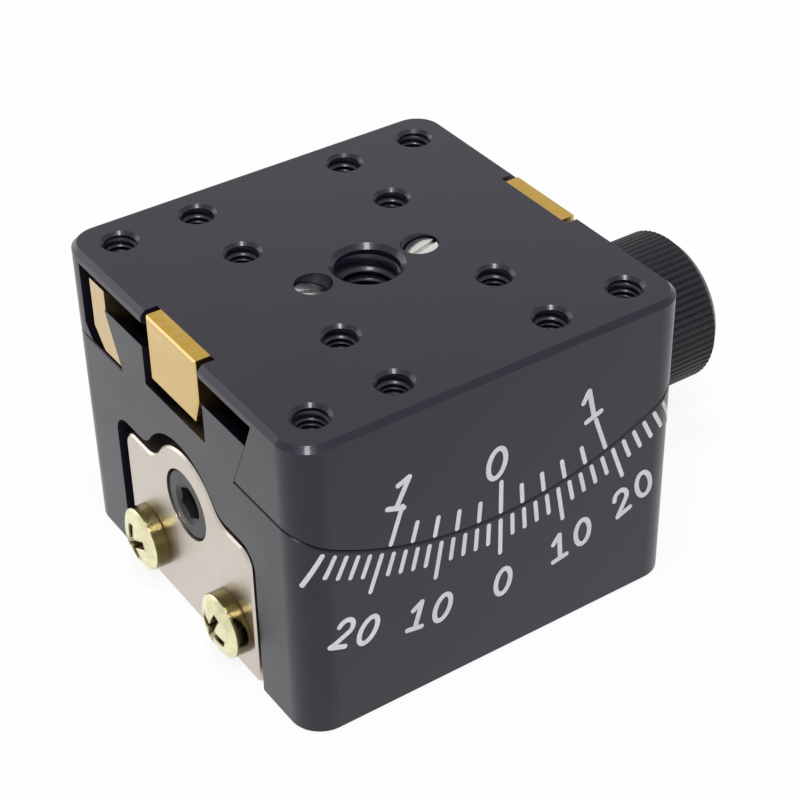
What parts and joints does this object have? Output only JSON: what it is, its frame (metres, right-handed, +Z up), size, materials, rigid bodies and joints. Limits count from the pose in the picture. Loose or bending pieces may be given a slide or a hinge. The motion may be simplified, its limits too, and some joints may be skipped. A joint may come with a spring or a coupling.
{
  "type": "manual tilt stage",
  "caption": "Small square goniometer stage: a plate slides on an arc dovetail and tilts about an axis above it, driven by a knurled knob and worm.",
  "frame": {"origin": "centre of the bottom mounting face", "axes": "+Z up, normal to the mounting face; +X along the worm axis towards the knob; -Y towards the scale; the tilt axis is parallel to Y, 51 mm above the mounting face"},
  "size_m": [0.0583, 0.04, 0.031],
  "materials": {
    "black_anodised": "black anodised, satin",
    "end_plate_metal": "fine ground",
    "brass": "machined",
    "bronze": "turned bearing bronze",
    "yellow_zinc": "yellow zinc plated",
    "black_oxide": "black oxide",
    "steel": "turned and ground",
    "bright_screw": "plain stainless",
    "scale_white": "matt white filling of the engraved scale"
  },
  "bodies": {
    "base": {"base_body": "black_anodised", "end_plate": "end_plate_metal", "end_plate_screws": "yellow_zinc", "preload_screw": "black_oxide", "thrust_ball": "steel", "rear_bush": "bronze", "front_bush": "bronze", "thrust_washer": "bronze", "knob_washer": "bright_screw"},
    "stage": {"stage_plate": "black_anodised", "gib": "brass", "gib_screws": "black_oxide", "worm_sector": "brass", "sector_screws": "bright_screw", "sector_dowels": "steel", "stop_pin": "steel"},
    "drive": {"knob": "black_anodised", "knob_set_screws": "black_oxide", "worm_shaft": "steel", "worm": "steel", "worm_pin": "steel"}
  },
  "joints": [
    {"name": "stage_tilt", "type": "hinge", "parent": "base", "child": "stage", "pos_m": [0, 0, 0.051], "axis": [0, 1, 0], "range_deg": [-20, 20]},
    {"name": "knob_spin", "type": "hinge", "parent": "base", "child": "drive", "pos_m": [0, 0, 0.013], "axis": [1, 0, 0], "range_deg": [-3600, 3600]}
  ],
  "couplings": [
    {"joint": "stage_tilt", "follows": "knob_spin", "ratio": 0.0055556}
  ]
}
